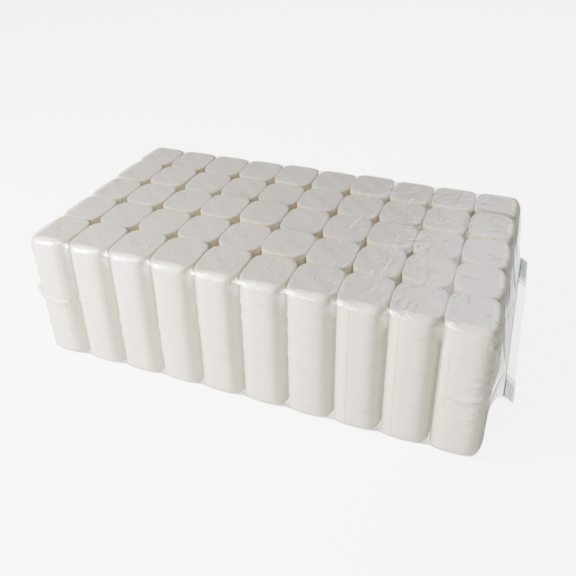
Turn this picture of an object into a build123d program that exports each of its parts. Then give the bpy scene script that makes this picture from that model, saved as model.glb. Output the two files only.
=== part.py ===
"""A bagged pack of fifty coreless toilet rolls, standing upright in one layer of ten columns and five rows.

Units are millimetres. The origin is the centre of the flat base that the pack rests on. +X runs along the
pack to the end whose sealed fin stands out, +Y runs from the front row to the back row, and +Z is up.
"""

import os

from build123d import *

# The rolls
COLUMNS = 10
ROWS = 5
COLUMN_PITCH = 45.0  # between roll centres along X
ROW_PITCH = 48.8  # between roll centres along Y
ROLL_HEIGHT = 138.0  # the width of the paper
CONTACT_GAP = 0.2  # between the flats where two rolls press on each other
CORNER_RADIUS = 13.0  # of a pressed roll's upright corners
SIDE_BULGE = 4.5  # how far the front and back rows swell out where they have no neighbour
END_BULGE = 1.0  # and the first and last columns, where the bag is drawn tighter
RIM_RADIUS = 1.2  # of the cut paper edge
SHOULDER_RADIUS = 9.0  # where the tight film rounds the outside of the block

# How far a few rolls stand out of the top, by (column, row), both counted from 1 at the front left
PROUD = {
    (2, 4): 0.8,
    (4, 3): 0.9,
    (5, 3): 1.2,
    (5, 5): 1.1,
    (6, 2): 1.6,
    (7, 5): 1.3,
    (8, 3): 0.7,
    (10, 4): 1.6,
}

# The film bag
FILM_THICKNESS = 0.4
FILM_CLEARANCE = 0.2  # between the film and the rolls
SEAL_HEIGHT = 70.0
SEAL_LENGTH = 228.0  # along Y
SEAL_REACH = 9.0  # how far an end panel is drawn out from the end face to its seal
SEAL_FLAT = 1.0  # the height of the seal line itself
PANEL_HEIGHT = 112.0  # from where the end panels leave the end face above the seal to where they do below
FIN_OUT = 9.0  # the open-standing fin's reach past the seal, along X
FIN_DROOP = 5.0  # and down
FIN_SAG = 0.8  # how far its middle is above the straight line from root to edge
FIN_THICKNESS = 0.8
FOLDED_FIN_WIDTH = 11.0  # of the fin at the other end, which is folded down onto its panel

BLOCK_LENGTH = COLUMNS * COLUMN_PITCH
BLOCK_WIDTH = ROWS * ROW_PITCH
ROLL_BASE = FILM_THICKNESS + FILM_CLEARANCE
FILM_TOP = ROLL_BASE + ROLL_HEIGHT + max(PROUD.values()) + FILM_CLEARANCE + FILM_THICKNESS


def swollen(points, bulges):
    """A closed face through the points. Each side is an arc that swells out by its bulge, or is straight."""
    sides = []
    for start, end, bulge in zip(points, points[1:] + points[:1], bulges):
        a, b = Vector(*start), Vector(*end)
        if bulge:
            outward = (b - a).normalized().rotate(Axis.Z, -90)
            sides.append(ThreePointArc(a, (a + b) / 2 + outward * bulge, b))
        else:
            sides.append(Line(a, b))
    return make_face(Curve() + sides)


def rounded_block(grow, bottom, top):
    """The block that all the rolls fill, grown outward, with its edges rounded by the film's pull."""
    length = BLOCK_LENGTH + 2 * (END_BULGE + grow)
    width = BLOCK_WIDTH + 2 * (SIDE_BULGE + grow)
    block = Box(length, width, top - bottom)
    block = fillet(block.edges(), SHOULDER_RADIUS + grow)
    return Pos(0, 0, (bottom + top) / 2) * block


def roll(column, row):
    """One wound roll: flats where it presses on a neighbour, and a gentle swell where it has none."""
    half_x = (COLUMN_PITCH - CONTACT_GAP) / 2
    half_y = (ROW_PITCH - CONTACT_GAP) / 2
    corners = [(-half_x, -half_y), (half_x, -half_y), (half_x, half_y), (-half_x, half_y)]
    free = [row == 1, column == COLUMNS, row == ROWS, column == 1]
    bulges = [SIDE_BULGE, END_BULGE, SIDE_BULGE, END_BULGE]
    section = swollen(corners, [bulge if side else 0 for side, bulge in zip(free, bulges)])
    section = fillet(section.vertices(), CORNER_RADIUS)

    height = ROLL_HEIGHT + PROUD.get((column, row), 0)
    paper = extrude(section, height)
    rims = paper.edges().group_by(Axis.Z)
    paper = fillet(rims[0] + rims[-1], RIM_RADIUS)

    centre_x = (column - (COLUMNS + 1) / 2) * COLUMN_PITCH
    centre_y = (row - (ROWS + 1) / 2) * ROW_PITCH
    paper = Pos(centre_x, centre_y, ROLL_BASE) * paper
    if any(free):
        paper = paper & rounded_block(0, ROLL_BASE, ROLL_BASE + height)
    return paper


def scalloped_outline(grow):
    """The bag's outline from above: a shallow arch over each outer roll, with a crease between two rolls."""
    half_length = BLOCK_LENGTH / 2 + grow
    half_width = BLOCK_WIDTH / 2 + grow
    along = [(2 * i / COLUMNS - 1) * half_length for i in range(COLUMNS)]
    across = [(2 * j / ROWS - 1) * half_width for j in range(ROWS)]
    points = [(x, -half_width) for x in along]
    points += [(half_length, y) for y in across]
    points += [(-x, half_width) for x in along]
    points += [(-half_length, -y) for y in across]
    bulges = ([SIDE_BULGE] * COLUMNS + [END_BULGE] * ROWS) * 2
    face = swollen(points, bulges)
    corners = face.vertices().sort_by(lambda v: abs(v.X) + abs(v.Y))[-4:]
    return fillet(corners, CORNER_RADIUS + grow)


def end_panels(grow):
    """The film at one end, drawn out to a level seal line at mid-height, on the +X side."""
    root_x = BLOCK_LENGTH / 2 + grow
    seal_x = root_x + SEAL_REACH
    half_height = PANEL_HEIGHT / 2
    profile = [
        (0, SEAL_HEIGHT - half_height),
        (root_x, SEAL_HEIGHT - half_height),
        (seal_x, SEAL_HEIGHT - SEAL_FLAT / 2),
        (seal_x, SEAL_HEIGHT + SEAL_FLAT / 2),
        (root_x, SEAL_HEIGHT + half_height),
        (0, SEAL_HEIGHT + half_height),
    ]
    face = Plane.XZ * make_face(Polyline(*profile, close=True))
    return extrude(face, SEAL_LENGTH / 2 + grow, both=True)


def bag_form(grow, bottom, top):
    """The closed form that lies this far outside the rolls."""
    form = extrude(Pos(0, 0, bottom) * scalloped_outline(grow), top - bottom)
    form = form & rounded_block(grow, bottom, top)
    form += end_panels(grow)
    return form + mirror(end_panels(grow), Plane.YZ)


def fin(path):
    """A strip of film layers sealed together, as long as the seal, that follows the path from above Y."""
    return extrude(Plane.XZ * trace(path, FIN_THICKNESS), SEAL_LENGTH / 2, both=True)


def film_bag():
    """The clear film around all the rolls, with its two sealed ends."""
    outside = FILM_CLEARANCE + FILM_THICKNESS
    bag = bag_form(outside, 0, FILM_TOP)
    bag -= bag_form(FILM_CLEARANCE, FILM_THICKNESS, FILM_TOP - FILM_THICKNESS)

    seal_x = BLOCK_LENGTH / 2 + outside + SEAL_REACH
    root = Vector(seal_x - FILM_THICKNESS / 2, SEAL_HEIGHT)
    edge = Vector(seal_x + FIN_OUT, SEAL_HEIGHT - FIN_DROOP)
    middle = (root + edge) / 2 + Vector(0, FIN_SAG)
    bag += fin(ThreePointArc(root, middle, edge))

    slope = 2 * SEAL_REACH / PANEL_HEIGHT
    folded_root = Vector(-seal_x, SEAL_HEIGHT)
    folded_edge = folded_root + Vector(slope * FOLDED_FIN_WIDTH, -FOLDED_FIN_WIDTH)
    return bag + fin(Line(folded_root, folded_edge))


os.makedirs("parts", exist_ok=True)

for row in range(1, ROWS + 1):
    for column in range(1, COLUMNS + 1):
        export_step(roll(column, row), f"parts/roll_row{row}_col{column:02d}.step")

export_step(film_bag(), "parts/film_bag.step")
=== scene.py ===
# %% [markdown]
# # A film-wrapped pack of coreless toilet rolls
# The real thing is fifty small rolls of soft paper, pushed together in a block five rows deep and then
# pulled tight inside one bag of clear film. Three things make it look like itself: rolls that have
# pressed each other square, white paper seen through a skin that shines only where it bends, and the
# sealed end of the bag. The rolls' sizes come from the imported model, so every mesh here lands on its part
# with no fitting.

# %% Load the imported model
import math

import bpy
import numpy as np
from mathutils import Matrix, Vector


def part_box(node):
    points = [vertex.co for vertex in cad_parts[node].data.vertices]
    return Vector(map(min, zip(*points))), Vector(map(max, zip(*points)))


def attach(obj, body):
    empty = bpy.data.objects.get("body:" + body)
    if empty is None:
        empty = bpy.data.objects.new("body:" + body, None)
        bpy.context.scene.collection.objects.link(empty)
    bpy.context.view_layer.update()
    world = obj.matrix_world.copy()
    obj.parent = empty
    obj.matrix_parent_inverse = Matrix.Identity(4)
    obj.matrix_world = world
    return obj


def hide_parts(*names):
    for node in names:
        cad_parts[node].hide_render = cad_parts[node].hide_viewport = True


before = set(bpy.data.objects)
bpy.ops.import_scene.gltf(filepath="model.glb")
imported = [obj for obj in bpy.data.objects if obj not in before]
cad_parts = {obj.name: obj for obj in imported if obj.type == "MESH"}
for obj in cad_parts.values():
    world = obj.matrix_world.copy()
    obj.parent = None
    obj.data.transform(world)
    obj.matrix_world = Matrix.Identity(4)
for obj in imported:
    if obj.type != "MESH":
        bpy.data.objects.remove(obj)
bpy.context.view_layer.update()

MM = 0.001
random = np.random.default_rng(50)

# %% [markdown]
# ## Where every roll stands
# The rolls stand on a grid, so the spacing is measured once, between inner rolls. A roll's reach is how
# far its paper goes from its grid point to the left, right, front and back. It is more than half the
# spacing on a side with no neighbour, because nothing stops the paper from swelling there.

# %% Read the rolls' places and sizes
COLUMNS, ROWS = 10, 5


def node_name(column, row):
    return f"roll_row{row + 1}_col{column + 1:02d}"


corners = np.array([[[tuple(corner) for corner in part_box(node_name(c, r))] for r in range(ROWS)]
                    for c in range(COLUMNS)])
middles = corners.mean(axis=2)
pitch_x = (middles[8, 2, 0] - middles[1, 2, 0]) / 7
pitch_y = (middles[4, 3, 1] - middles[4, 1, 1]) / 2
centre_x = (np.arange(COLUMNS) - (COLUMNS - 1) / 2) * pitch_x
centre_y = (np.arange(ROWS) - (ROWS - 1) / 2) * pitch_y
reach = np.stack([
    centre_x[:, None] - corners[:, :, 0, 0],
    corners[:, :, 1, 0] - centre_x[:, None],
    centre_y[None, :] - corners[:, :, 0, 1],
    corners[:, :, 1, 1] - centre_y[None, :],
], axis=-1)
LEFT, RIGHT, FRONT, BACK = range(4)
foot = corners[0, 0, 0, 2]
top = corners[:, :, 1, 2].copy()
top += random.uniform(-0.5, 0.25, top.shape) * MM
lean = random.uniform(-0.009, 0.009, (COLUMNS, ROWS, 2))
print(f"rolls every {pitch_x / MM:.1f} x {pitch_y / MM:.1f} mm, {(top.mean() - foot) / MM:.1f} mm tall")

# %% [markdown]
# ## The camera
# It comes early, so that every later choice can be judged in one framing: from above the right-hand front
# corner, looking along the pack. A small downward shift keeps the pack where it belongs in the picture
# without tilting the camera further.

# %% Camera
camera = bpy.data.objects.new("camera", bpy.data.cameras.new("camera"))
bpy.context.scene.collection.objects.link(camera)
camera.data.sensor_width = 36.0
camera.data.lens = 40.8
camera.data.shift_y = -0.1167
camera.data.clip_start = 0.02
camera.location = (0.2171, -0.5482, 0.4595)
camera.rotation_euler = (math.radians(61.02), math.radians(0.81), math.radians(20.84))
bpy.context.scene.camera = camera
print("camera stands", round(camera.location.length, 2), "m from the pack's base")

# %% [markdown]
# ## The shape of one roll
# A paper roll is round until it is packed. Then its neighbours flatten it, and its outline becomes a
# superellipse: a circle's formula with a higher power, which fills out the corners. Each quarter has its
# own power, high between two neighbours and lower on the outside of the block, where the paper stays
# rounder. The same formula also tells how far any point is outside the paper, which the film needs later.

# %% Outline of a roll
PRESSED_POWER = 3.7
FREE_POWER = 3.3
CORNER_POWER = 3.2
PRESSED_RIM = 1.6 * MM
FREE_RIM = 8.0 * MM


def is_free(column, row):
    return np.stack([column == 0, column == COLUMNS - 1, row == 0, row == ROWS - 1], axis=-1)


def quarter(x, y, column, row):
    """Half-widths and power of the outline in the quarter that each point is in."""
    sides = reach[column, row]
    free = is_free(column, row)
    right, back = x > 0, y > 0
    half_x = np.where(right, sides[..., RIGHT], sides[..., LEFT])
    half_y = np.where(back, sides[..., BACK], sides[..., FRONT])
    free_x = np.where(right, free[..., RIGHT], free[..., LEFT])
    free_y = np.where(back, free[..., BACK], free[..., FRONT])
    power = np.where(free_x & free_y, CORNER_POWER, np.where(free_x | free_y, FREE_POWER, PRESSED_POWER))
    return half_x, half_y, power


def outside_paper(points):
    """For points near the block: distance outside the nearest roll, and the direction straight out of it."""
    column = np.clip(np.round(points[:, 0] / pitch_x + (COLUMNS - 1) / 2), 0, COLUMNS - 1).astype(int)
    row = np.clip(np.round(points[:, 1] / pitch_y + (ROWS - 1) / 2), 0, ROWS - 1).astype(int)
    x, y = points[:, 0] - centre_x[column], points[:, 1] - centre_y[row]
    half_x, half_y, power = quarter(x, y, column, row)
    u, v = np.abs(x) / half_x + 1e-6, np.abs(y) / half_y + 1e-6
    size = (u ** power + v ** power) ** (1 / power)
    slope = np.stack([(u / size) ** (power - 1) / half_x * np.sign(x),
                      (v / size) ** (power - 1) / half_y * np.sign(y)], axis=-1)
    steepness = np.maximum(np.linalg.norm(slope, axis=-1), 1e-9)
    sideways = slope / steepness[:, None]
    out_side = (size - 1) / steepness
    level = top[column, row] + lean[column, row, 0] * x + lean[column, row, 1] * y
    above, below = points[:, 2] - level, foot - points[:, 2]
    upward = np.where(above > below, 1.0, -1.0)
    out_end = np.maximum(above, below)
    rim = rim_radius(sideways, column, row)
    a, b = out_side + rim, out_end + rim
    reach_out = np.hypot(np.maximum(a, 1e-9), np.maximum(b, 1e-9))
    on_rim = (a > 0) & (b > 0)
    distance = np.where(on_rim, reach_out - rim, np.maximum(out_side, out_end))
    share_side = np.where(on_rim, a / reach_out, np.where(a > b, 1.0, 0.0))
    share_end = np.where(on_rim, b / reach_out, np.where(a > b, 0.0, 1.0))
    direction = np.concatenate([sideways * share_side[:, None], (upward * share_end)[:, None]], axis=1)
    return distance, direction


def rim_radius(sideways, column, row):
    """The rounding of a roll's end: slight between neighbours, generous where the film pulls over it."""
    free = is_free(column, row)
    outward = np.stack([-sideways[..., 0], sideways[..., 0], -sideways[..., 1], sideways[..., 1]], axis=-1)
    pull = np.max(np.where(free, np.clip(outward, 0, 1), 0), axis=-1)
    return PRESSED_RIM + (FREE_RIM - PRESSED_RIM) * pull ** 2


def roll_outline(column, row, count):
    """Evenly spaced points round a roll's outline, the directions straight out, and the run so far."""
    turn = np.linspace(0, 2 * np.pi, 4000, endpoint=False)
    c, r = np.full(turn.shape, column), np.full(turn.shape, row)
    half_x, half_y, power = quarter(np.cos(turn), np.sin(turn), c, r)
    x = half_x * np.sign(np.cos(turn)) * np.abs(np.cos(turn)) ** (2 / power)
    y = half_y * np.sign(np.sin(turn)) * np.abs(np.sin(turn)) ** (2 / power)
    run = np.concatenate([[0], np.cumsum(np.hypot(np.diff(x, append=x[0]), np.diff(y, append=y[0])))])
    wanted = np.arange(count) / count * run[-1]
    x = np.interp(wanted, run, np.append(x, x[0]))
    y = np.interp(wanted, run, np.append(y, y[0]))
    ahead = np.stack([np.roll(x, -1) - np.roll(x, 1), np.roll(y, -1) - np.roll(y, 1)], axis=-1)
    ahead /= np.linalg.norm(ahead, axis=1)[:, None]
    outward = np.stack([ahead[:, 1], -ahead[:, 0]], axis=-1)
    return np.stack([x, y], axis=-1), outward, wanted


print("a roll in the front row is about", round(roll_outline(4, 0, 100)[2][-1] / MM), "mm round")

# %% [markdown]
# ## Turning points into pieces
# All pieces are meshes made from arrays of points, because a roll or a film is a formula rather than a
# block to be cut. One helper takes points, arrays of faces and the named values that a material reads
# later, and hangs the piece on the pack's only body.

# %% Helper: make a mesh piece
def make_piece(name, points, faces, replaced, values):
    """A smooth mesh with its body, the node it stands for, and its values at the points."""
    mesh = bpy.data.meshes.new(name)
    sizes = np.concatenate([np.full(len(f), f.shape[1]) for f in faces])
    loops = np.concatenate([f.ravel() for f in faces])
    mesh.vertices.add(len(points))
    mesh.vertices.foreach_set("co", points.astype(np.float32).ravel())
    mesh.loops.add(len(loops))
    mesh.loops.foreach_set("vertex_index", loops.astype(np.int32))
    mesh.polygons.add(len(sizes))
    mesh.polygons.foreach_set("loop_start", np.concatenate([[0], np.cumsum(sizes)[:-1]]).astype(np.int32))
    mesh.update(calc_edges=True)
    mesh.polygons.foreach_set("use_smooth", np.ones(len(sizes), bool))
    for label, value in values.items():
        kind, field = ("FLOAT_VECTOR", "vector") if value.ndim == 2 else ("FLOAT", "value")
        attribute = mesh.attributes.new(label, kind, "POINT")
        attribute.data.foreach_set(field, value.astype(np.float32).ravel())
    piece = bpy.data.objects.new(name, mesh)
    bpy.context.scene.collection.objects.link(piece)
    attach(piece, "root")
    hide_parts(replaced)
    return piece


def band(first, second, closed=True):
    """Quads between two rows of point numbers."""
    if closed:
        ahead_first, ahead_second = np.roll(first, -1), np.roll(second, -1)
    else:
        first, ahead_first = first[:-1], first[1:]
        second, ahead_second = second[:-1], second[1:]
    return np.stack([first, ahead_first, ahead_second, second], axis=-1)


# %% [markdown]
# ## Creases
# Tension alone makes a film too perfect. A bag like this is folded from a tube, and its side folds, its
# corners and the pull of every roll leave creases. The paper under the film is so soft that it takes each
# crease too. So the creases are made before both: each is a path over a roll, given by angles round the
# roll and heights, and whatever lies under it rises in a thin ridge. Big folds have their own paths.
# Small ones fan out from where two rolls meet, because the film has most to spare there.

# %% Paths of the creases
CREASE_STRENGTH = 1.7
crease_seed = np.random.default_rng(7)
creases = []


def on_roll(column, row, degrees, z, inwards=1.0):
    """A point on a roll's side, at an angle round its axis, where -90 faces the front, and a height."""
    turn = np.radians(degrees)
    half_x, half_y, power = quarter(np.cos(turn), np.sin(turn), np.array(column), np.array(row))
    size = (np.abs(np.cos(turn) / half_x) ** power + np.abs(np.sin(turn) / half_y) ** power) ** (-1 / power)
    return np.stack([centre_x[column] + np.cos(turn) * size * inwards,
                     centre_y[row] + np.sin(turn) * size * inwards, z + 0 * turn], axis=-1)


def curve_through(knots, count=60):
    """A smooth run of values through a few knots, by the Catmull-Rom formula."""
    knots = np.asarray(knots, float)
    padded = np.concatenate([[2 * knots[0] - knots[1]], knots, [2 * knots[-1] - knots[-2]]])
    t = np.linspace(0, len(knots) - 1, count)
    i = np.minimum(t.astype(int), len(knots) - 2)
    f = (t - i)[:, None]
    a, b, c, d = padded[i], padded[i + 1], padded[i + 2], padded[i + 3]
    return b + 0.5 * f * (c - a + f * (2 * a - 5 * b + 4 * c - d + f * (3 * (b - c) + d - a)))


def add_crease(path, width, height, fade_in=0.3, fade_out=0.5):
    """Keep a path in metres with its width and height in mm, and the shares of it that rise and die away."""
    creases.append((path, width * MM, height * MM * CREASE_STRENGTH, fade_in, fade_out))


def side_crease(column, row, knots, width, height, **fades):
    """A crease over a roll's side through knots of angle and height in mm."""
    turns = curve_through(knots)
    add_crease(on_roll(column, row, turns[:, 0], turns[:, 1] * MM), width, height, **fades)


FAN_COUNT = (4, 4, 2, 6, 3, 8, 8, 2, 1, 1)
FAN_SPAN = ((24, 124), (24, 124), (30, 70), (26, 84), (70, 120),
            (30, 118), (22, 118), (24, 60), (22, 50), (30, 60))
FAN_START, FAN_EDGE = 42, 33
FAN_DROP, FAN_END = (4, 12), (-24, -4)
FAN_WIDTH, FAN_HEIGHT = (1.0, 1.5), (0.45, 0.85)
for row, front, side in ((0, -90, 1), (ROWS - 1, 90, -1)):
    for place in range(COLUMNS):
        column = place if row == 0 else COLUMNS - 1 - place
        for fold in range(FAN_COUNT[place]):
            z = crease_seed.uniform(*FAN_SPAN[place])
            drop = crease_seed.uniform(*FAN_DROP)
            end = crease_seed.uniform(*FAN_END)
            knots = [(front - side * FAN_START, z + drop / 2), (front - side * FAN_EDGE, z),
                     (front + side * end, z - drop)]
            side_crease(column, row, knots,
                        crease_seed.uniform(*FAN_WIDTH), crease_seed.uniform(*FAN_HEIGHT))

LOOSE_END = ((-125, 22, 122, 1.3), (-118, 50, 120, 0.9))
for turn, low, high, height in LOOSE_END:
    knots = [(turn, high), (turn + 1, high - 30), (turn - 1, low + 20), (turn, low)]
    side_crease(COLUMNS - 1, 0, knots, 1.1, height, fade_in=0.1, fade_out=0.2)
print(len(creases), "creases over the front and back rows")

# %% [markdown]
# At each corner of the bag, the side of the film tube is tucked in. Seen from outside, its folded edge
# comes down from the top corner and then turns along the middle of the corner roll, and spare film is
# gathered in a small coil under the corner. A corner's knots are degrees from straight ahead towards the
# end of the pack, and heights in mm. All four corners use the same list, mirrored.

# %% Folds at the four corners
CORNERS = ((9, 0, -90, 1), (9, 4, 90, -1), (0, 0, -90, -1), (0, 4, 90, 1))
TUCK = ((46, 122), (54, 108), (56, 94), (50, 80), (30, 70.5), (0, 67.5), (-24, 69), (-38, 70.5))
SECOND_TUCK = ((54, 95), (62, 84), (72, 76), (90, 71))
WRINKLES_BY_TUCK = ((48, 14, 112, 3), (46, 6, 103, 4), (50, 20, 97, 2), (42, 2, 88, 3), (40, 10, 60, 3),
                    (36, -6, 50, 2), (44, 12, 32, -3))
COIL_TURN, COIL_HEIGHT = 42, 126
DEGREES_PER_MM = 2.2

coil = np.linspace(0, 3.4 * np.pi, 70)
coil_radius = 1.5 + 6.5 * coil / coil[-1]
for column, row, middle, way in CORNERS:
    def corner_crease(knots, *size, **fades):
        side_crease(column, row, [(middle + way * turn, z) for turn, z in knots], *size, **fades)

    corner_crease(TUCK, 1.5, 2.0, fade_in=0.05, fade_out=0.12)
    corner_crease(SECOND_TUCK, 1.5, 1.2, fade_out=0.15)
    for start, end, z, fall in WRINKLES_BY_TUCK:
        corner_crease([(start, z), ((start + end) / 2, z - fall), (end, z - fall * 0.4)], 1.4, 0.9)
    turns = middle + way * (COIL_TURN + DEGREES_PER_MM * coil_radius * np.cos(coil))
    add_crease(on_roll(column, row, turns, (COIL_HEIGHT + coil_radius * np.sin(coil)) * MM), 1.2, 1.2)
print(len(creases), "creases with the corners")

# %% [markdown]
# The tight ends of the bag pull short creases from the rim of every end roll towards its middle, and a
# few rolls carry small curls on top, where the film caught.

# %% Short pulls and curls on top
PULLS_PER_ROLL = 8
PULL_SPREAD = 46
PULL_DROP = np.array([6, 1.5, -0.3]) * MM
PULL_INWARDS = np.array([1.0, 0.96, 0.86])
CURLED = ((2, 0), (4, 0), (5, 0), (6, 0), (1, 0), (8, 1), (6, 2))
CURLS_PER_ROLL = 4

for column, outward_turn in ((COLUMNS - 1, 0.0), (0, 180.0)):
    for row in range(ROWS):
        level = top[column, row]
        for pull in range(PULLS_PER_ROLL):
            turn = outward_turn + crease_seed.uniform(-PULL_SPREAD, PULL_SPREAD)
            rim = on_roll(column, row, np.full(3, turn), level - PULL_DROP, PULL_INWARDS)
            end_turn = np.array([turn + crease_seed.uniform(-9, 9)])
            inner = on_roll(column, row, end_turn, np.array([level + 0.3 * MM]),
                            crease_seed.uniform(0.4, 0.7))
            add_crease(curve_through(np.concatenate([rim, inner])), crease_seed.uniform(1.2, 2.2),
                       crease_seed.uniform(0.15, 0.45))
for column, row in CURLED:
    for curl in range(CURLS_PER_ROLL):
        share = crease_seed.uniform(0.2, 0.6)
        start = crease_seed.uniform(-180, 180)
        turns = np.linspace(start, start + crease_seed.uniform(25, 70), 40)
        path = on_roll(column, row, turns, top[column, row], share)
        add_crease(path, 0.9, crease_seed.uniform(0.25, 0.5))
print(len(creases), "creases in all")

# %% [markdown]
# Both the paper and the film ask one function how far the creases raise their points. A point's nearest
# place on each path gives its distance, and its height falls away from there like a bell.

# %% Lift by the creases
CREASE_REACH = 2.5


def crease_lift(points):
    """How far the creases raise each point, and how much of a crease it lies on."""
    lift, share_of = np.zeros(len(points)), np.zeros(len(points))
    for path, width, height, fade_in, fade_out in creases:
        margin = CREASE_REACH * width
        low, high = path.min(axis=0) - margin, path.max(axis=0) + margin
        near = np.flatnonzero(np.all((points > low) & (points < high), axis=1))
        if len(near) == 0:
            continue
        gaps = np.linalg.norm(points[near][:, None] - path[None], axis=2)
        share = gaps.argmin(axis=1) / (len(path) - 1)
        strength = np.exp(-(gaps.min(axis=1) / width) ** 2)
        strength *= np.clip(share / fade_in, 0, 1) * np.clip((1 - share) / fade_out, 0, 1)
        lift[near] = np.maximum(lift[near], height * strength)
        share_of[near] = np.maximum(share_of[near], strength)
    return lift, share_of


# %% [markdown]
# ## The paper rolls
# A roll could be a cylinder with a bevel, but the eye reads paper from small faults: ends that are wound
# a little unevenly, a crumpled middle where the core would be, a loose outer edge. So each roll is a
# stack of rings that follow its outline up the side and then run inwards over both ends, and those faults
# move the points of the rings. Every point also keeps three lengths, round the roll, into the winding and
# up the roll, so that the paper's finish can follow the winding.

# %% Build the fifty rolls
AROUND = 112
END_RINGS = 20
PERFORATION_AT = {7: 0.32, 8: 0.275}
TAIL_AT = {9: 0.2, 4: 0.8, 1: 0.9}
TAIL_STEP = 0.3 * MM
TAIL_TAPER = 30 * MM
PAPER_SHARE = 0.8
END_BLEND = 1.5 * MM
SIDE_RINGS_FRONT, SIDE_RINGS_END, SIDE_RINGS_HIDDEN = 84, 50, 5
LOWER_BENDS = np.radians([0, 25, 50, 75, 90])
UPPER_BENDS = np.radians([0, 18, 36, 54, 72, 90])
RIDGE_HEIGHT, RIDGE_SPACING = 0.14 * MM, 3.1 * MM
LUMP_HEIGHT = 0.2 * MM
WOBBLE, PUFF = 0.05 * MM, 0.04 * MM


def end_relief(x, y, depth, angle, seed):
    """How the wound end rises and falls: faint ridges, broad lumps and a small crumpled middle."""
    radius = np.hypot(x, y)
    phase = seed.uniform(0, 2 * np.pi, 8)
    pit_depth, swirl_height = seed.uniform(0.1, 0.7) * MM, seed.uniform(0.05, 0.3) * MM
    arms = seed.integers(1, 4)
    winding = 2 * np.pi * depth / RIDGE_SPACING + 1.5 * np.sin(2 * angle + phase[0])
    ridges = RIDGE_HEIGHT * np.sin(winding + phase[1])
    lumps = LUMP_HEIGHT * (np.sin(x / (7 * MM) + phase[2]) * np.sin(y / (6 * MM) + phase[3])
                        + 0.6 * np.sin((x + y) / (4.1 * MM) + phase[4]))
    pit = -pit_depth * np.exp(-(radius / (2.0 * MM)) ** 2)
    swirl = swirl_height * np.sin(arms * angle + radius / (1.2 * MM) + phase[5])
    swirl *= np.exp(-(radius / (5 * MM)) ** 2)
    return ridges + lumps + pit + swirl


def build_roll(column, row):
    seed = np.random.default_rng(1000 + 10 * row + column)
    outline, outward, run = roll_outline(column, row, AROUND)
    girth = run[-1] * AROUND / (AROUND - 1)
    grid = np.full(AROUND, column), np.full(AROUND, row)
    rim = rim_radius(outward, *grid)
    angle = np.arctan2(outline[:, 1], outline[:, 0])
    wobble = sum(seed.normal(0, WOBBLE) * np.sin(k * angle + seed.uniform(0, 6.3)) for k in range(2, 7))
    across = (outline[:, 0] - outline[:, 0].min()) / np.ptp(outline[:, 0]) + (outline[:, 1] > 0)
    mark, tail = seed.uniform(0, girth, 2)
    if row == 0 and column in PERFORATION_AT:
        mark = run[np.abs(across - PERFORATION_AT[column]).argmin()]
    if row == 0 and column in TAIL_AT:
        tail = run[np.abs(across - TAIL_AT[column]).argmin()]
    behind_tail = (tail - run) % girth
    step = TAIL_STEP * np.clip(1 - behind_tail / TAIL_TAPER, 0, 1)

    pressed = 1 - (rim - PRESSED_RIM) / (FREE_RIM - PRESSED_RIM)
    # The third list keeps each ring's pressed share, which the paper's colour turns into painted shade
    # between the rolls.
    rings, kept, pressed_shade = [], [], []

    def add_ring(inset, z, depth):
        rings.append(np.column_stack([outline + outward * (wobble + step - inset)[:, None], z]))
        kept.append(np.column_stack([(run - mark + girth / 2) % girth - girth / 2, depth, z]))
        pressed_shade.append(pressed)

    def level(xy):
        return top[column, row] + lean[column, row, 0] * xy[:, 0] + lean[column, row, 1] * xy[:, 1]

    flat = np.zeros(AROUND)
    for share in (0.25, 0.6):
        edge = outline - outward * rim[:, None]
        rings.append(np.column_stack([edge * share, flat + foot]))
        kept.append(np.column_stack([run, flat + 9 * MM * (1 - share), flat + foot]))
        pressed_shade.append(flat)
    for bend in LOWER_BENDS:
        add_ring(rim * (1 - np.sin(bend)), foot + rim * (1 - np.cos(bend)), flat)
    side_rings = SIDE_RINGS_END if column == COLUMNS - 1 else SIDE_RINGS_HIDDEN
    side_rings = SIDE_RINGS_FRONT if row == 0 else side_rings
    rim_top = level(outline) - rim
    for share in np.arange(1, side_rings) / side_rings:
        z = foot + rim + share * (rim_top - foot - rim)
        puff = sum(seed.normal(0, PUFF) * np.sin(k * np.pi * share + 1.3 * np.sin(angle + k))
                   for k in (3, 5, 8))
        add_ring(-puff, z, flat)
    for bend in UPPER_BENDS:
        blend = END_BLEND * pressed * np.sin(bend)
        add_ring(rim * (1 - np.cos(bend)), rim_top + rim * np.sin(bend), blend)
    edge = outline + outward * (wobble + step - rim)[:, None]
    middle = seed.uniform(-2.5, 2.5, 2) * MM
    for inwards in (np.arange(1, END_RINGS) / END_RINGS) ** 0.9:
        xy = edge * (1 - inwards) + middle * inwards ** 2
        depth = np.hypot(*edge.T) * inwards + END_BLEND * pressed
        end_seed = np.random.default_rng(2000 + 10 * row + column)
        relief = end_relief(*(xy - middle).T, depth, angle, end_seed)
        fade = min(1.0, inwards * END_RINGS / 2)
        rings.append(np.column_stack([xy, level(xy) + relief * fade]))
        kept.append(np.column_stack([run * (1 - inwards), depth, level(xy)]))
        pressed_shade.append(flat)

    points = np.concatenate(rings + [[[0, 0, foot]], [[*middle, rings[-1][:, 2].mean()]]])
    values = np.concatenate(kept + [[[0, 20 * MM, foot]], [[0, 24 * MM, top[column, row]]]])
    points[:, 0] += centre_x[column]
    points[:, 1] += centre_y[row]
    lift, _ = crease_lift(points)
    points += outside_paper(points)[1] * (PAPER_SHARE * lift)[:, None]
    rows_of = np.arange(len(rings) * AROUND).reshape(len(rings), AROUND)
    quads = np.concatenate([band(a, b) for a, b in zip(rows_of, rows_of[1:])])
    under, over = len(points) - 2, len(points) - 1
    fans = np.concatenate([
        np.column_stack([np.roll(rows_of[0], -1), rows_of[0], np.full(AROUND, under)]),
        np.column_stack([rows_of[-1], np.roll(rows_of[-1], -1), np.full(AROUND, over)]),
    ])
    name = node_name(column, row)
    return make_piece(name + "_paper", points, [quads, fans], name, {
        "winding": values, "pressed": np.concatenate(pressed_shade + [[0, 0]])})


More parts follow.
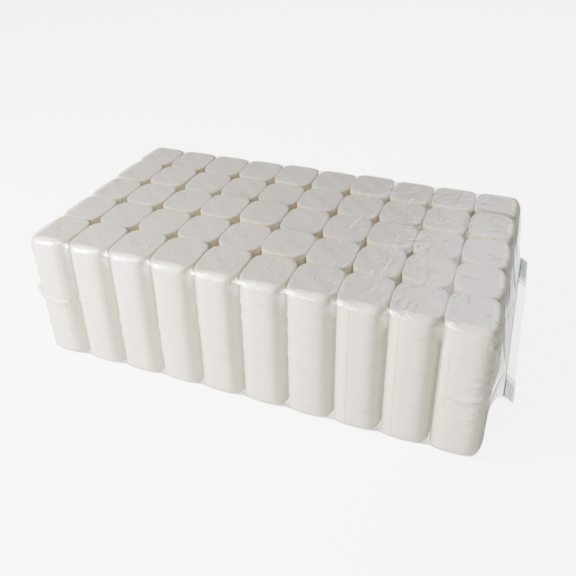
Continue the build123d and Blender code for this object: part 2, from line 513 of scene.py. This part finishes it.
rolls = [build_roll(column, row) for row in range(ROWS) for column in range(COLUMNS)]
print(len(rolls), "rolls,", sum(len(roll.data.polygons) for roll in rolls), "faces")

# %% [markdown]
# ## The film
# The bag could be a box with rounded edges, but then it would shine like glass. Real film is a skin in
# tension: it touches the rolls where they stand out and spans the gaps between them. So a closed grid of
# points starts as a rounded box and is let go. In each step every point moves towards its neighbours,
# which is the film's tension, and a little inwards, because the air was pressed out. A point that would
# enter the paper is put back on its surface. The grid has no middle under the pack, where one flat face
# closes it.

# %% Grid of the film
FILM_GAP = 0.6 * MM
SHOULDER = 9 * MM
BASE_BORDER = 7
CELLS = (244, 122, 86)
CROWDING = (0.3, 0.72, 0.66)


def graded(count, length, crowding):
    """Grid lines from -length/2 to length/2 that lie closer together towards both ends."""
    bend = math.pi / 2 * crowding
    return np.sin(bend * np.linspace(-1, 1, count + 1)) / math.sin(bend) * length / 2


def film_grid(nx, ny, nz, border):
    """Point numbers of the quads of a box's grid, and each used point's place in the grid."""
    def number(i, j, k):
        return (i * (ny + 1) + j) * (nz + 1) + k

    def face(first, second, keep=None, turn=False):
        a, b = np.meshgrid(np.arange(first), np.arange(second), indexing="ij")
        a, b = (a.ravel(), b.ravel()) if keep is None else (a[keep(a, b)], b[keep(a, b)])
        loop = [(a, b), (a + 1, b), (a + 1, b + 1), (a, b + 1)]
        return loop[::-1] if turn else loop

    def edge_cells(a, b):
        return (a < border) | (a >= nx - border) | (b < border) | (b >= ny - border)

    sides = [[number(a, b, nz) for a, b in face(nx, ny)],
             [number(a, b, 0) for a, b in face(nx, ny, edge_cells, turn=True)],
             [number(a, 0, b) for a, b in face(nx, nz)],
             [number(a, ny, b) for a, b in face(nx, nz, turn=True)],
             [number(nx, a, b) for a, b in face(ny, nz)],
             [number(0, a, b) for a, b in face(ny, nz, turn=True)]]
    quads = np.concatenate([np.stack(side, axis=-1) for side in sides])
    used, quads = np.unique(quads, return_inverse=True)
    place = np.stack([used // ((ny + 1) * (nz + 1)), used // (nz + 1) % (ny + 1), used % (nz + 1)], axis=-1)
    low, high_x, high_y = border, nx - border, ny - border
    loop = [(low, j) for j in range(low, high_y)] + [(i, high_y) for i in range(low, high_x)]
    loop += [(high_x, j) for j in range(high_y, low, -1)] + [(i, low) for i in range(high_x, low, -1)]
    base = np.searchsorted(used, [number(i, j, 0) for i, j in loop])
    return quads.reshape(-1, 4), place, base[None, :]


quads, place, base = film_grid(*CELLS, BASE_BORDER)
print("the film has", len(place), "points and", len(quads), "quads")

# %% [markdown]
# The grid starts as a rounded box round the whole block. On both ends the film is drawn out to a level
# seal at mid-height, so those points start on two slopes that meet at the seal, and the points of the
# seal itself are pinned.

# %% Starting shape of the film
SEAL_HEIGHT = 70 * MM
SEAL_HALF_LENGTH = 114 * MM
SEAL_OUT = 9 * MM
SEAL_SLOPE = 56 * MM

block_low = corners[:, :, 0].min(axis=(0, 1)) - FILM_GAP
block_high = corners[:, :, 1].max(axis=(0, 1)) + FILM_GAP
block_low[2] = 0.1 * MM
block_size = block_high - block_low
block_middle = (block_low + block_high) / 2
lines = [graded(CELLS[axis], block_size[axis], CROWDING[axis]) + block_middle[axis] for axis in range(3)]
film = np.stack([lines[axis][place[:, axis]] for axis in range(3)], axis=-1)
core = np.clip(film, block_low + SHOULDER, block_high - SHOULDER)
away = film - core
distance = np.linalg.norm(away, axis=1)
film = core + away / np.maximum(distance, 1e-9)[:, None] * np.minimum(distance, SHOULDER)[:, None]

seal_row = np.argmin(np.abs(lines[2] - SEAL_HEIGHT))
seal_x = block_high[0] + SEAL_OUT
at_right, at_left = place[:, 0] == CELLS[0], place[:, 0] == 0
on_end = at_right | at_left
slope = np.clip(1 - np.abs(film[:, 2] - SEAL_HEIGHT) / SEAL_SLOPE, 0, 1)
reach_y = np.clip((SEAL_HALF_LENGTH + 6 * MM - np.abs(film[:, 1])) / (12 * MM), 0, 1)
film[:, 0] += np.sign(film[:, 0]) * SEAL_OUT * slope * reach_y * on_end
pinned = on_end & (place[:, 2] == seal_row) & (np.abs(film[:, 1]) < SEAL_HALF_LENGTH)
film[pinned, 0] = np.sign(film[pinned, 0]) * seal_x
film[pinned, 2] = SEAL_HEIGHT
print(pinned.sum(), "points are pinned at the two seals")

# %% Let the film go
TENSION = 0.5
TOP_SUCTION = 0.014 * MM
SIDE_SUCTION = 0.045 * MM
END_SUCTION = 0.003 * MM
TOP_EDGE_SLACK = 0.8
MOMENTUM = 0.88
EVENING = 0.25
SETTLING = 25
STEPS = 260

links = np.concatenate([quads[:, [0, 1]], quads[:, [1, 2]], quads[:, [2, 3]], quads[:, [3, 0]]])
links = np.unique(np.sort(links, axis=1), axis=0)
links = np.concatenate([links, links[:, ::-1]])
links = links[np.argsort(links[:, 0], kind="stable")]
first = np.searchsorted(links[:, 0], np.arange(len(film)))
neighbours = np.diff(np.append(first, len(links)))[:, None]


def straight_out(points):
    """The direction out of the film at each of its points."""
    across = np.cross(points[quads[:, 2]] - points[quads[:, 0]], points[quads[:, 3]] - points[quads[:, 1]])
    owners = quads.ravel()
    out = np.stack([np.bincount(owners, np.repeat(across[:, axis], 4), len(points))
                    for axis in range(3)], -1)
    return out / np.maximum(np.linalg.norm(out, axis=1), 1e-12)[:, None]


def towards_neighbours(points):
    return np.add.reduceat(points[links[:, 1]], first, axis=0) / neighbours - points


def keep_off_paper(points, gap):
    distance, direction = outside_paper(points)
    points += direction * np.maximum(gap - distance, 0)[:, None]
    points[:, 2] = np.maximum(points[:, 2], block_low[2])
    return distance < gap


out = straight_out(film)
suction = TOP_SUCTION + (SIDE_SUCTION - TOP_SUCTION) * np.clip(1.3 * np.abs(out[:, 1]), 0, 1)
near_top = np.clip((film[:, 2] - block_high[2] + 16 * MM) / (8 * MM), 0, 1)
suction *= 1 - TOP_EDGE_SLACK * near_top * np.abs(out[:, 1])
suction = np.where(on_end, END_SUCTION, suction)[:, None]
speed = np.zeros((len(film), 1))
free = ~pinned[:, None]
for step in range(STEPS):
    if step % 4 == 0:
        out = straight_out(film)
    move = towards_neighbours(film)
    pull = np.sum(move * out, axis=1)[:, None]
    momentum = MOMENTUM if step < STEPS - SETTLING else 0
    speed = momentum * speed + TENSION * pull - suction
    film += (speed * out + EVENING * (move - pull * out)) * free
    speed[keep_off_paper(film, FILM_GAP)] = 0
dip = film[(place[:, 2] == CELLS[2])][:, 2]
print("the film's top dips", round(float((block_high[2] - dip).max() / MM), 1), "mm at most")

# %% [markdown]
# The film takes the same creases as the paper, and its end panels have upright folds of their own, which
# run from the rim to the seal. Where the film spans from roll to roll along an outer edge it is gathered,
# so it looks milkier there. The haze of every point is kept for the film's finish.

# %% Creases, end folds and haze
CREASE_HAZE, WEB_HAZE, END_HAZE = 0.5, 0.9, 0.25
lift, creased = crease_lift(film)
film += straight_out(film) * lift[:, None]
END_FOLDS = 34
FOLD_WIDTH, FOLD_HEIGHT = (1.6, 4.2), (0.5, 1.7)
for side, at_side in ((1, at_right), (-1, at_left)):
    for fold in range(END_FOLDS):
        y = crease_seed.uniform(-112, 112) * MM
        slant = crease_seed.uniform(-0.12, 0.12)
        width = crease_seed.uniform(*FOLD_WIDTH) * MM
        height = crease_seed.uniform(*FOLD_HEIGHT) * MM
        above = crease_seed.random() < 0.65
        along = film[:, 2] - SEAL_HEIGHT
        span = np.clip(along / (58 * MM) if above else -along / (52 * MM), 0, 1)
        swell = np.sin(np.pi * np.clip(span, 0, 1)) ** 0.6 * (span < 1)
        beside = (film[:, 1] - y - slant * along) / width
        film[:, 0] += side * at_side * height * swell * np.exp(-beside ** 2)
keep_off_paper(film, FILM_GAP * 0.8)
film[base[0], 2] = block_low[2]
spanning, _ = outside_paper(film)
near_side = np.clip((np.abs(film[:, 1]) - 102 * MM) / (8 * MM), 0, 1)
near_top = np.clip((film[:, 2] - 118 * MM) / (8 * MM), 0, 1)
webs = near_side * near_top * np.clip((spanning - 1.2 * MM) / (3 * MM), 0, 1)
haze = np.clip(CREASE_HAZE * creased + WEB_HAZE * webs, 0, 1)
haze = np.where(on_end, np.maximum(haze, END_HAZE), haze)
print(int((creased > 0.3).sum()), "points of the film lie on creases")

# %% [markdown]
# ## The sealed fins
# Past its seal, the film goes on as a flat fin of layers that were welded together. At one end it stands
# out and droops a little. At its two ends more layers come together, because the bag's side folds are
# caught in the weld, and that is why the fin looks milky and pleated there. At the other end of the pack
# the fin is folded down flat. A fin is a ribbon with two faces, closed round its edge, so it has a real
# thickness.

# %% Build the fins
FIN_LAYER = 0.22 * MM
FIN_OUT = 8.6 * MM
FIN_DROOP = 5.0 * MM
FOLDED_WIDTH = 11 * MM
RIPPLE_SIZES = (17, 9, 4, 1.6)


def ribbon(name, line, haze):
    """A thin closed strip round a grid of points, as rows along the seal and columns away from it."""
    rows, columns = line.shape[:2]
    across = np.cross(np.gradient(line, axis=0), np.gradient(line, axis=1))
    across /= np.linalg.norm(across, axis=2)[..., None]
    layers = np.concatenate([line + across * FIN_LAYER / 2, line - across * FIN_LAYER / 2])
    number = np.arange(2 * rows * columns).reshape(2, rows, columns)
    upper, lower = number
    rim = [np.concatenate([part[0, :-1], part[:-1, -1], part[-1, :0:-1], part[:0:-1, 0]])
           for part in (upper, lower)]
    faces = [band(upper[i], upper[i + 1], closed=False)[:, ::-1] for i in range(rows - 1)]
    faces += [band(lower[i], lower[i + 1], closed=False) for i in range(rows - 1)]
    faces.append(band(rim[0], rim[1]))
    away = np.linalg.norm(line - line[:, :1], axis=2)
    place_on_fin = np.stack([line[..., 1], away, line[..., 2]], axis=-1)
    return make_piece(name, layers.reshape(-1, 3), [np.concatenate(faces)], "film_bag", {
        "haze": np.tile(haze.ravel(), 2), "seal": np.tile(place_on_fin.reshape(-1, 3), (2, 1))})


def fin_grid(low_y, high_y, reach_out, lift, seed_number, wave=1.0, count=None):
    seed = np.random.default_rng(seed_number)
    y = np.linspace(low_y, high_y, count or int((high_y - low_y) / (0.9 * MM)))[:, None]
    out_share = np.linspace(0, 1, 12)[None, :]
    ripple = sum(seed.uniform(0.3, 0.8) * MM * np.sin(y / (size * MM) + seed.uniform(0, 6.3))
                 for size in RIPPLE_SIZES)
    edge = 1 + 0.05 * np.sin(y / (23 * MM)) + 0.03 * np.sin(y / (6 * MM) + seed.uniform(0, 6))
    x = seal_x - 0.4 * MM + reach_out * edge * out_share
    z = SEAL_HEIGHT + lift - FIN_DROOP * out_share ** 1.3 + wave * ripple * out_share ** 1.2
    return np.stack([x + 0 * z, y + 0 * z, z], axis=-1)


fin_pieces = []
main_fin = fin_grid(-SEAL_HALF_LENGTH, SEAL_HALF_LENGTH, FIN_OUT, 0.0, 11)
ends = np.clip((np.abs(main_fin[..., 1]) - 84 * MM) / (22 * MM), 0, 1)
fin_pieces.append(ribbon("seal_fin", main_fin, 0.1 + 0.3 * ends))
GUSSET_LAYERS = ((62, 113.4, 0.97, 0.5), (70, 113.0, 0.90, 1.0), (80, 112.5, 0.82, -0.5),
                 (-113.4, -84, 0.97, 0.5), (-113.0, -92, 0.88, 0.9))
for number, (low_y, high_y, out_part, lift) in enumerate(GUSSET_LAYERS):
    layer = fin_grid(low_y * MM, high_y * MM, FIN_OUT * out_part, lift * MM, 20 + number, wave=1.5)
    fin_pieces.append(ribbon(f"gusset_layer_{number + 1}", layer, np.full(layer.shape[:2], 0.35)))

share = np.linspace(0, 1, 10)[None, :]
y = np.linspace(-SEAL_HALF_LENGTH, SEAL_HALF_LENGTH, 190)[:, None]
fold_seed = np.random.default_rng(31)
bumps = sum(fold_seed.uniform(0.1, 0.3) * MM * np.sin(y / (size * MM) + fold_seed.uniform(0, 6))
            for size in (14, 6, 3.1))
lean_in = SEAL_OUT / SEAL_SLOPE
fold_x = -seal_x - 0.7 * MM + (lean_in * FOLDED_WIDTH + 0.5 * MM) * share - np.abs(bumps) * share
flat_fin = np.stack([fold_x,
                     y + 0 * share, SEAL_HEIGHT + 0.3 * MM - FOLDED_WIDTH * share + 0 * y], axis=-1)
ends = np.clip((np.abs(flat_fin[..., 1]) - 84 * MM) / (22 * MM), 0, 1)
fin_pieces.append(ribbon("folded_fin", flat_fin, 0.25 + 0.35 * ends))
print(len(fin_pieces), "fin layers,", sum(len(piece.data.polygons) for piece in fin_pieces), "faces")

# %% [markdown]
# ## Finishes
# The paper is almost white and quite matt. Its grain is far finer than anything the eye can follow, but
# it changes with direction: the wound ends show thin lines that run round the roll, and the sides show
# the perforations between two sheets. Both patterns read the lengths that each roll's points carry.

# %% Helper for node groups
def shader_group(name, inputs, outputs):
    group = bpy.data.node_groups.new(name, "ShaderNodeTree")
    for label, kind, value in inputs:
        socket = group.interface.new_socket(label, in_out="INPUT", socket_type=kind)
        if value is not None:
            socket.default_value = value
    for label, kind in outputs:
        group.interface.new_socket(label, in_out="OUTPUT", socket_type=kind)
    return group, group.nodes.new("NodeGroupInput"), group.nodes.new("NodeGroupOutput")


def math_node(tree, operation, first, second=None, third=None, clamp=False):
    node = tree.nodes.new("ShaderNodeMath")
    node.operation = operation
    node.use_clamp = clamp
    for socket, value in zip(node.inputs, (first, second, third)):
        if value is None:
            continue
        if isinstance(value, (int, float)):
            socket.default_value = value
        else:
            tree.links.new(value, socket)
    return node.outputs[0]


def winding_group():
    """Thin lines round a roll's end and dashes up its side, from the lengths that its points carry."""
    group, start, end = shader_group(
        "paper_winding",
        [("Lengths", "NodeSocketVector", None), ("Line Spacing", "NodeSocketFloat", 0.0012),
         ("End Depth", "NodeSocketFloat", 0.0015)],
        [("Lines", "NodeSocketFloat"), ("Perforation", "NodeSocketFloat"), ("End", "NodeSocketFloat")])
    split = group.nodes.new("ShaderNodeSeparateXYZ")
    group.links.new(start.outputs["Lengths"], split.inputs[0])
    along, depth, height = split.outputs
    place = group.nodes.new("ShaderNodeCombineXYZ")
    group.links.new(math_node(group, "MULTIPLY", along, 30.0), place.inputs[0])
    group.links.new(math_node(group, "DIVIDE", depth, start.outputs["Line Spacing"]), place.inputs[1])
    noise = group.nodes.new("ShaderNodeTexNoise")
    noise.inputs["Scale"].default_value = 1.0
    noise.inputs["Detail"].default_value = 3.0
    group.links.new(place.outputs[0], noise.inputs["Vector"])
    group.links.new(noise.outputs[0], end.inputs["Lines"])
    on_end = math_node(group, "DIVIDE", depth, start.outputs["End Depth"], clamp=True)
    group.links.new(on_end, end.inputs["End"])
    near = math_node(group, "LESS_THAN", math_node(group, "ABSOLUTE", along), 0.0008)
    up_side = math_node(group, "FRACT", math_node(group, "DIVIDE", height, 0.004))
    dash = math_node(group, "LESS_THAN", up_side, 0.55)
    side = math_node(group, "LESS_THAN", depth, 0.0005)
    group.links.new(math_node(group, "MULTIPLY", math_node(group, "MULTIPLY", near, dash), side),
                    end.inputs["Perforation"])
    return group


def clouds_group():
    """Soft uneven patches at two sizes, used for the paper's tone and for the film's thickness."""
    group, start, end = shader_group(
        "soft_clouds",
        [("Size", "NodeSocketFloat", 0.02)],
        [("Broad", "NodeSocketFloat"), ("Fine", "NodeSocketFloat")])
    place = group.nodes.new("ShaderNodeTexCoord")
    for label, share in (("Broad", 1.0), ("Fine", 12.0)):
        noise = group.nodes.new("ShaderNodeTexNoise")
        noise.inputs["Detail"].default_value = 2.0
        group.links.new(place.outputs["Object"], noise.inputs["Vector"])
        group.links.new(math_node(group, "DIVIDE", share, start.outputs["Size"]), noise.inputs["Scale"])
        group.links.new(noise.outputs[0], end.inputs[label])
    return group


def weld_group():
    """The fine pattern that the heated jaws press into a seal: dots on the seal line, ribs over the fin."""
    group, start, end = shader_group(
        "weld_pattern",
        [("Lengths", "NodeSocketVector", None), ("Dot Spacing", "NodeSocketFloat", 0.0034)],
        [("Dots", "NodeSocketFloat"), ("Ribs", "NodeSocketFloat")])
    split = group.nodes.new("ShaderNodeSeparateXYZ")
    group.links.new(start.outputs["Lengths"], split.inputs[0])
    along, out, _ = split.outputs
    phase = math_node(group, "FRACT", math_node(group, "DIVIDE", along, start.outputs["Dot Spacing"]))
    dots = math_node(group, "MULTIPLY", math_node(group, "LESS_THAN", phase, 0.6),
                     math_node(group, "LESS_THAN", out, 0.0013))
    group.links.new(dots, end.inputs["Dots"])
    ribs = math_node(group, "PINGPONG", math_node(group, "DIVIDE", out, 0.0012), 1.0)
    group.links.new(ribs, end.inputs["Ribs"])
    return group


def wrinkles_group():
    """Fine level wrinkles in loose patches: thin lines that run round the sides and curl over the ends."""
    group, start, end = shader_group(
        "fine_wrinkles",
        [("Spacing", "NodeSocketFloat", 0.005), ("Length", "NodeSocketFloat", 0.04)],
        [("Lines", "NodeSocketFloat"), ("Patches", "NodeSocketFloat")])
    split = group.nodes.new("ShaderNodeSeparateXYZ")
    group.links.new(group.nodes.new("ShaderNodeTexCoord").outputs["Object"], split.inputs[0])
    x, y, z = split.outputs
    place = group.nodes.new("ShaderNodeCombineXYZ")
    slanted = math_node(group, "MULTIPLY_ADD", x, 0.22, z)
    for socket, length, size in zip(place.inputs, (x, y, slanted), ("Length", "Length", "Spacing")):
        group.links.new(math_node(group, "DIVIDE", length, start.outputs[size]), socket)
    folds = group.nodes.new("ShaderNodeTexNoise")
    folds.inputs["Scale"].default_value = 1.0
    folds.inputs["Detail"].default_value = 1.5
    folds.inputs["Distortion"].default_value = 0.6
    group.links.new(place.outputs[0], folds.inputs["Vector"])
    valley = math_node(group, "ABSOLUTE", math_node(group, "SUBTRACT", folds.outputs[0], 0.5))
    ridge = math_node(group, "SUBTRACT", 1.0, math_node(group, "MULTIPLY", valley, 14.0), clamp=True)
    spread = group.nodes.new("ShaderNodeTexNoise")
    spread.inputs["Scale"].default_value = 22.0
    spread.inputs["Detail"].default_value = 1.0
    patches = math_node(group, "MULTIPLY_ADD", spread.outputs[0], 8.0, -3.8, clamp=True)
    group.links.new(patches, end.inputs["Patches"])
    group.links.new(ridge, end.inputs["Lines"])
    return group


WINDING = winding_group()
WRINKLES = wrinkles_group()
WELD = weld_group()
CLOUDS = clouds_group()


def new_material(name, slot_colour):
    material = bpy.data.materials.new(name)
    material.use_nodes = True
    material.diffuse_color = slot_colour
    tree = material.node_tree
    return material, tree, tree.nodes["Principled BSDF"], tree.nodes["Material Output"]


def place_group(tree, group, **values):
    node = tree.nodes.new("ShaderNodeGroup")
    node.node_tree = group
    for label, value in values.items():
        node.inputs[label.replace("_", " ")].default_value = value
    return node


def colour_mix(tree, share, first, second):
    node = tree.nodes.new("ShaderNodeMix")
    node.data_type = "RGBA"
    for label, value in (("Factor", share), ("A", first), ("B", second)):
        socket = node.inputs[label]
        if isinstance(value, (tuple, int, float)):
            socket.default_value = value
        else:
            tree.links.new(value, socket)
    return node.outputs["Result"]


def shader_mix(tree, share, first, second):
    node = tree.nodes.new("ShaderNodeMixShader")
    for value, socket in zip((share, first, second), node.inputs):
        tree.links.new(value, socket)
    return node.outputs[0]


def camera_sees(tree, seen, otherwise):
    """One shader for what the camera sees directly, and another for the light that falls on the pack."""
    ray = tree.nodes.new("ShaderNodeLightPath")
    return shader_mix(tree, ray.outputs["Is Camera Ray"], otherwise, seen)


def attribute(tree, name):
    node = tree.nodes.new("ShaderNodeAttribute")
    node.attribute_name = name
    return node.outputs


# %% [markdown]
# ## Paper
# The sides of the rolls are a warm white. The ends are a duller grey, partly their own tone, because light
# sinks in between the edges of the layers, and partly painted shade that keeps the tops greyer than the lit
# fronts. Where a side is pressed against its neighbour, painted shade makes it darker and warmer, for the
# shade and warm bounced light between rolls.

# %% Paper
def paper_material():
    material, tree, skin, _ = new_material("tissue_paper", (0.86, 0.84, 0.79, 1))
    winding = place_group(tree, WINDING, Line_Spacing=0.0009)
    tree.links.new(attribute(tree, "winding")["Vector"], winding.inputs["Lengths"])
    clouds = place_group(tree, CLOUDS, Size=0.03)
    side = colour_mix(tree, clouds.outputs["Broad"], (0.92, 0.87, 0.775, 1), (0.90, 0.85, 0.75, 1))
    # Painted shade: pressed sides turn darker and warmer, standing in for the shade and warm bounced light in
    # the valleys and gaps between rolls.
    side = colour_mix(tree, attribute(tree, "pressed")["Fac"], side, (0.52, 0.44, 0.25, 1))
    holes = math_node(tree, "MULTIPLY", winding.outputs["Perforation"], 0.65)
    side = colour_mix(tree, holes, side, (0.28, 0.26, 0.22, 1))
    # The ends' grey is partly the wound ends' own duller tone and partly painted shade that keeps the tops
    # greyer than the lit fronts.
    end = colour_mix(tree, clouds.outputs["Broad"], (0.62, 0.58, 0.55, 1), (0.53, 0.495, 0.465, 1))
    lines = math_node(tree, "MULTIPLY", winding.outputs["Lines"], 0.4)
    end = colour_mix(tree, lines, end, (0.36, 0.345, 0.33, 1))
    tone = colour_mix(tree, winding.outputs["End"], side, end)
    tree.links.new(tone, skin.inputs["Base Color"])
    skin.inputs["Roughness"].default_value = 0.95
    skin.inputs["Specular IOR Level"].default_value = 0.15
    bump = tree.nodes.new("ShaderNodeBump")
    bump.inputs["Distance"].default_value = 0.0004
    bump.inputs["Strength"].default_value = 0.5
    height = math_node(tree, "ADD", math_node(tree, "MULTIPLY", winding.outputs["Lines"], 0.8),
                       math_node(tree, "MULTIPLY", clouds.outputs["Fine"], 0.3))
    height = math_node(tree, "SUBTRACT", height, holes)
    wrinkles = place_group(tree, WRINKLES, Spacing=0.0055, Length=0.045)
    folds = math_node(tree, "MULTIPLY", wrinkles.outputs["Lines"], wrinkles.outputs["Patches"])
    height = math_node(tree, "MULTIPLY_ADD", folds, 1.7, height)
    tree.links.new(height, bump.inputs["Height"])
    tree.links.new(bump.outputs[0], skin.inputs["Normal"])
    return material


paper = paper_material()
for roll in rolls:
    roll.data.materials.append(paper)


# %% [markdown]
# ## Film
# The film's material is three layers: clear film that lets the paper's colour through, a thin milky haze
# that is stronger on creases, and a soft mirror that is stronger where the film is seen at a glancing
# angle.

# %% Film
HAZE_SHARE, HAZE_LEAST = 0.3, 0.05
MIRROR_SHARE, MIRROR_GLANCING, MIRROR_ROUGHNESS = 0.2, 0.6, 0.27
# The welded film's tint is partly the weld's own grey and partly painted shade, darkening the floor seen
# through the fins as a shadow would.
CLEAR_TINT, WELDED_TINT_WITH_SHADE = (0.97, 0.97, 0.955, 1), (0.88, 0.90, 0.91, 1)


def film_material(name, mirror_share, welded):
    """Clear film, and with `welded` the milkier film of the fins, with the weld's pattern in it."""
    material, tree, skin, output = new_material(name, (0.92, 0.94, 0.95, 0.25))
    haze = attribute(tree, "haze")["Fac"]
    clouds = place_group(tree, CLOUDS, Size=0.012)
    milky_share = math_node(tree, "MULTIPLY_ADD", haze, HAZE_SHARE, HAZE_LEAST)
    wrinkles = place_group(tree, WRINKLES, Spacing=0.0055, Length=0.045)
    folds = math_node(tree, "MULTIPLY", wrinkles.outputs["Lines"], wrinkles.outputs["Patches"])
    milky_share = math_node(tree, "MULTIPLY_ADD", folds, 0.05, milky_share)
    height = math_node(tree, "MULTIPLY_ADD", folds, 0.7, clouds.outputs["Broad"])
    skin.inputs["Base Color"].default_value = (0.9, 0.91, 0.91, 1)
    if welded:
        weld = place_group(tree, WELD, Dot_Spacing=0.0034)
        tree.links.new(attribute(tree, "seal")["Vector"], weld.inputs["Lengths"])
        dots = weld.outputs["Dots"]
        milky_share = math_node(tree, "MAXIMUM", milky_share, math_node(tree, "MULTIPLY", dots, 0.6))
        height = math_node(tree, "ADD", height, math_node(tree, "MULTIPLY", weld.outputs["Ribs"], 0.4))
        tint = colour_mix(tree, dots, (0.93, 0.94, 0.94, 1), (0.16, 0.165, 0.16, 1))
        tree.links.new(tint, skin.inputs["Base Color"])
    skin.inputs["Roughness"].default_value = 0.5
    skin.inputs["Specular IOR Level"].default_value = 0.0
    clear = tree.nodes.new("ShaderNodeBsdfTransparent")
    clear.inputs["Color"].default_value = WELDED_TINT_WITH_SHADE if welded else CLEAR_TINT
    milky = shader_mix(tree, milky_share, clear.outputs[0], skin.outputs[0])
    shine = tree.nodes.new("ShaderNodeBsdfAnisotropic")
    shine.inputs["Roughness"].default_value = MIRROR_ROUGHNESS
    tilt = tree.nodes.new("ShaderNodeLayerWeight")
    tilt.inputs["Blend"].default_value = 0.5
    bump = tree.nodes.new("ShaderNodeBump")
    bump.inputs["Distance"].default_value = 0.0012
    bump.inputs["Strength"].default_value = 0.45
    tree.links.new(height, bump.inputs["Height"])
    tree.links.new(bump.outputs[0], shine.inputs["Normal"])
    tree.links.new(bump.outputs[0], tilt.inputs["Normal"])
    glancing = math_node(tree, "POWER", tilt.outputs["Facing"], 4.0)
    mirrored = math_node(tree, "MULTIPLY_ADD", glancing, MIRROR_GLANCING, MIRROR_SHARE, clamp=True)
    mirrored = math_node(tree, "MULTIPLY", mirrored, mirror_share)
    tree.links.new(shader_mix(tree, mirrored, milky, shine.outputs[0]), output.inputs["Surface"])
    return material


tight_film = film_material("tight_film", 1.0, welded=False)
welded_film = film_material("welded_film", 0.2, welded=True)
film_piece = make_piece("film_skin", film, [quads, base], "film_bag", {"haze": haze})
film_piece.data.materials.append(tight_film)
for piece in fin_pieces:
    piece.data.materials.append(welded_film)
print("film skin has", len(film_piece.data.polygons), "faces")


# %% [markdown]
# ## Floor and backdrop
# The backdrop is bright for the camera alone. To all other rays the floor is plain grey and the world is
# dim, so the pale surroundings do not light the pack and its shaded end stays in shade.

# %% Floor finish
BACKDROP_GLOW = 6.0


def floor_material():
    material, tree, skin, output = new_material("pale_floor", (0.9, 0.9, 0.9, 1))
    clouds = place_group(tree, CLOUDS, Size=1.5)
    grey = colour_mix(tree, clouds.outputs["Broad"], (0.60, 0.60, 0.60, 1), (0.64, 0.64, 0.635, 1))
    tree.links.new(grey, skin.inputs["Base Color"])
    skin.inputs["Roughness"].default_value = 0.7
    glow = tree.nodes.new("ShaderNodeEmission")
    glow.inputs["Strength"].default_value = BACKDROP_GLOW
    both = tree.nodes.new("ShaderNodeAddShader")
    tree.links.new(skin.outputs[0], both.inputs[0])
    tree.links.new(glow.outputs[0], both.inputs[1])
    tree.links.new(camera_sees(tree, both.outputs[0], skin.outputs[0]), output.inputs["Surface"])
    return material


# %% [markdown]
# ## Lights
# Clear film is only seen by what it mirrors. The main soft light stands in front and to the left, so the
# front rolls are bright and the right-hand end falls into shade. A second, higher light from the same
# side draws the line along the front shoulders, and a small one in front adds a sheen. One behind keeps
# the tops and the back from going dull, and a very weak one at the front right keeps the shaded end
# readable.

# %% Lights, floor and surroundings
def soft_light(name, place, aim, size, power, colour):
    light = bpy.data.objects.new(name, bpy.data.lights.new(name, "AREA"))
    light.data.shape = "RECTANGLE"
    light.data.size, light.data.size_y = size
    light.data.energy = power
    light.data.color = colour
    light.location = place
    light.rotation_euler = (Vector(aim) - Vector(place)).to_track_quat("-Z", "Y").to_euler()
    bpy.context.scene.collection.objects.link(light)
    return light


soft_light("front_left_softbox", (-0.75, -0.63, 0.56), (0, 0, 0.07), (0.34, 0.5), 52, (1.0, 0.94, 0.88))
soft_light("shoulder_light", (-0.72, -0.55, 1.3), (0, 0, 0.1), (0.3, 0.3), 14, (1.0, 0.99, 0.97))
soft_light("front_right_fill", (1.3, -0.9, 1.0), (0, 0, 0.07), (1.0, 1.0), 2, (0.96, 1.0, 0.95))
soft_light("back_sheen", (0.6, 1.1, 1.2), (0, 0, 0.1), (1.6, 0.9), 14, (1.0, 0.98, 0.97))
soft_light("front_sheen", (-0.26, -0.91, 0.79), (0.15, -0.1, 0.12), (0.22, 0.22), 8, (1.0, 0.97, 0.93))

studio = bpy.data.worlds.new("studio")
studio.use_nodes = True
sky = studio.node_tree
weak = sky.nodes["Background"]
weak.inputs["Color"].default_value = (1.0, 0.98, 0.95, 1)
weak.inputs["Strength"].default_value = 0.13
pale = sky.nodes.new("ShaderNodeBackground")
pale.inputs["Color"].default_value = (1.0, 1.0, 1.0, 1)
pale.inputs["Strength"].default_value = BACKDROP_GLOW
sky.links.new(camera_sees(sky, pale.outputs[0], weak.outputs[0]), sky.nodes["World Output"].inputs["Surface"])
bpy.context.scene.world = studio

bpy.ops.mesh.primitive_circle_add(vertices=64, radius=6, fill_type="NGON", location=(0, 0, 0))
floor = bpy.context.object
floor.name = "floor"
floor.data.materials.append(floor_material())
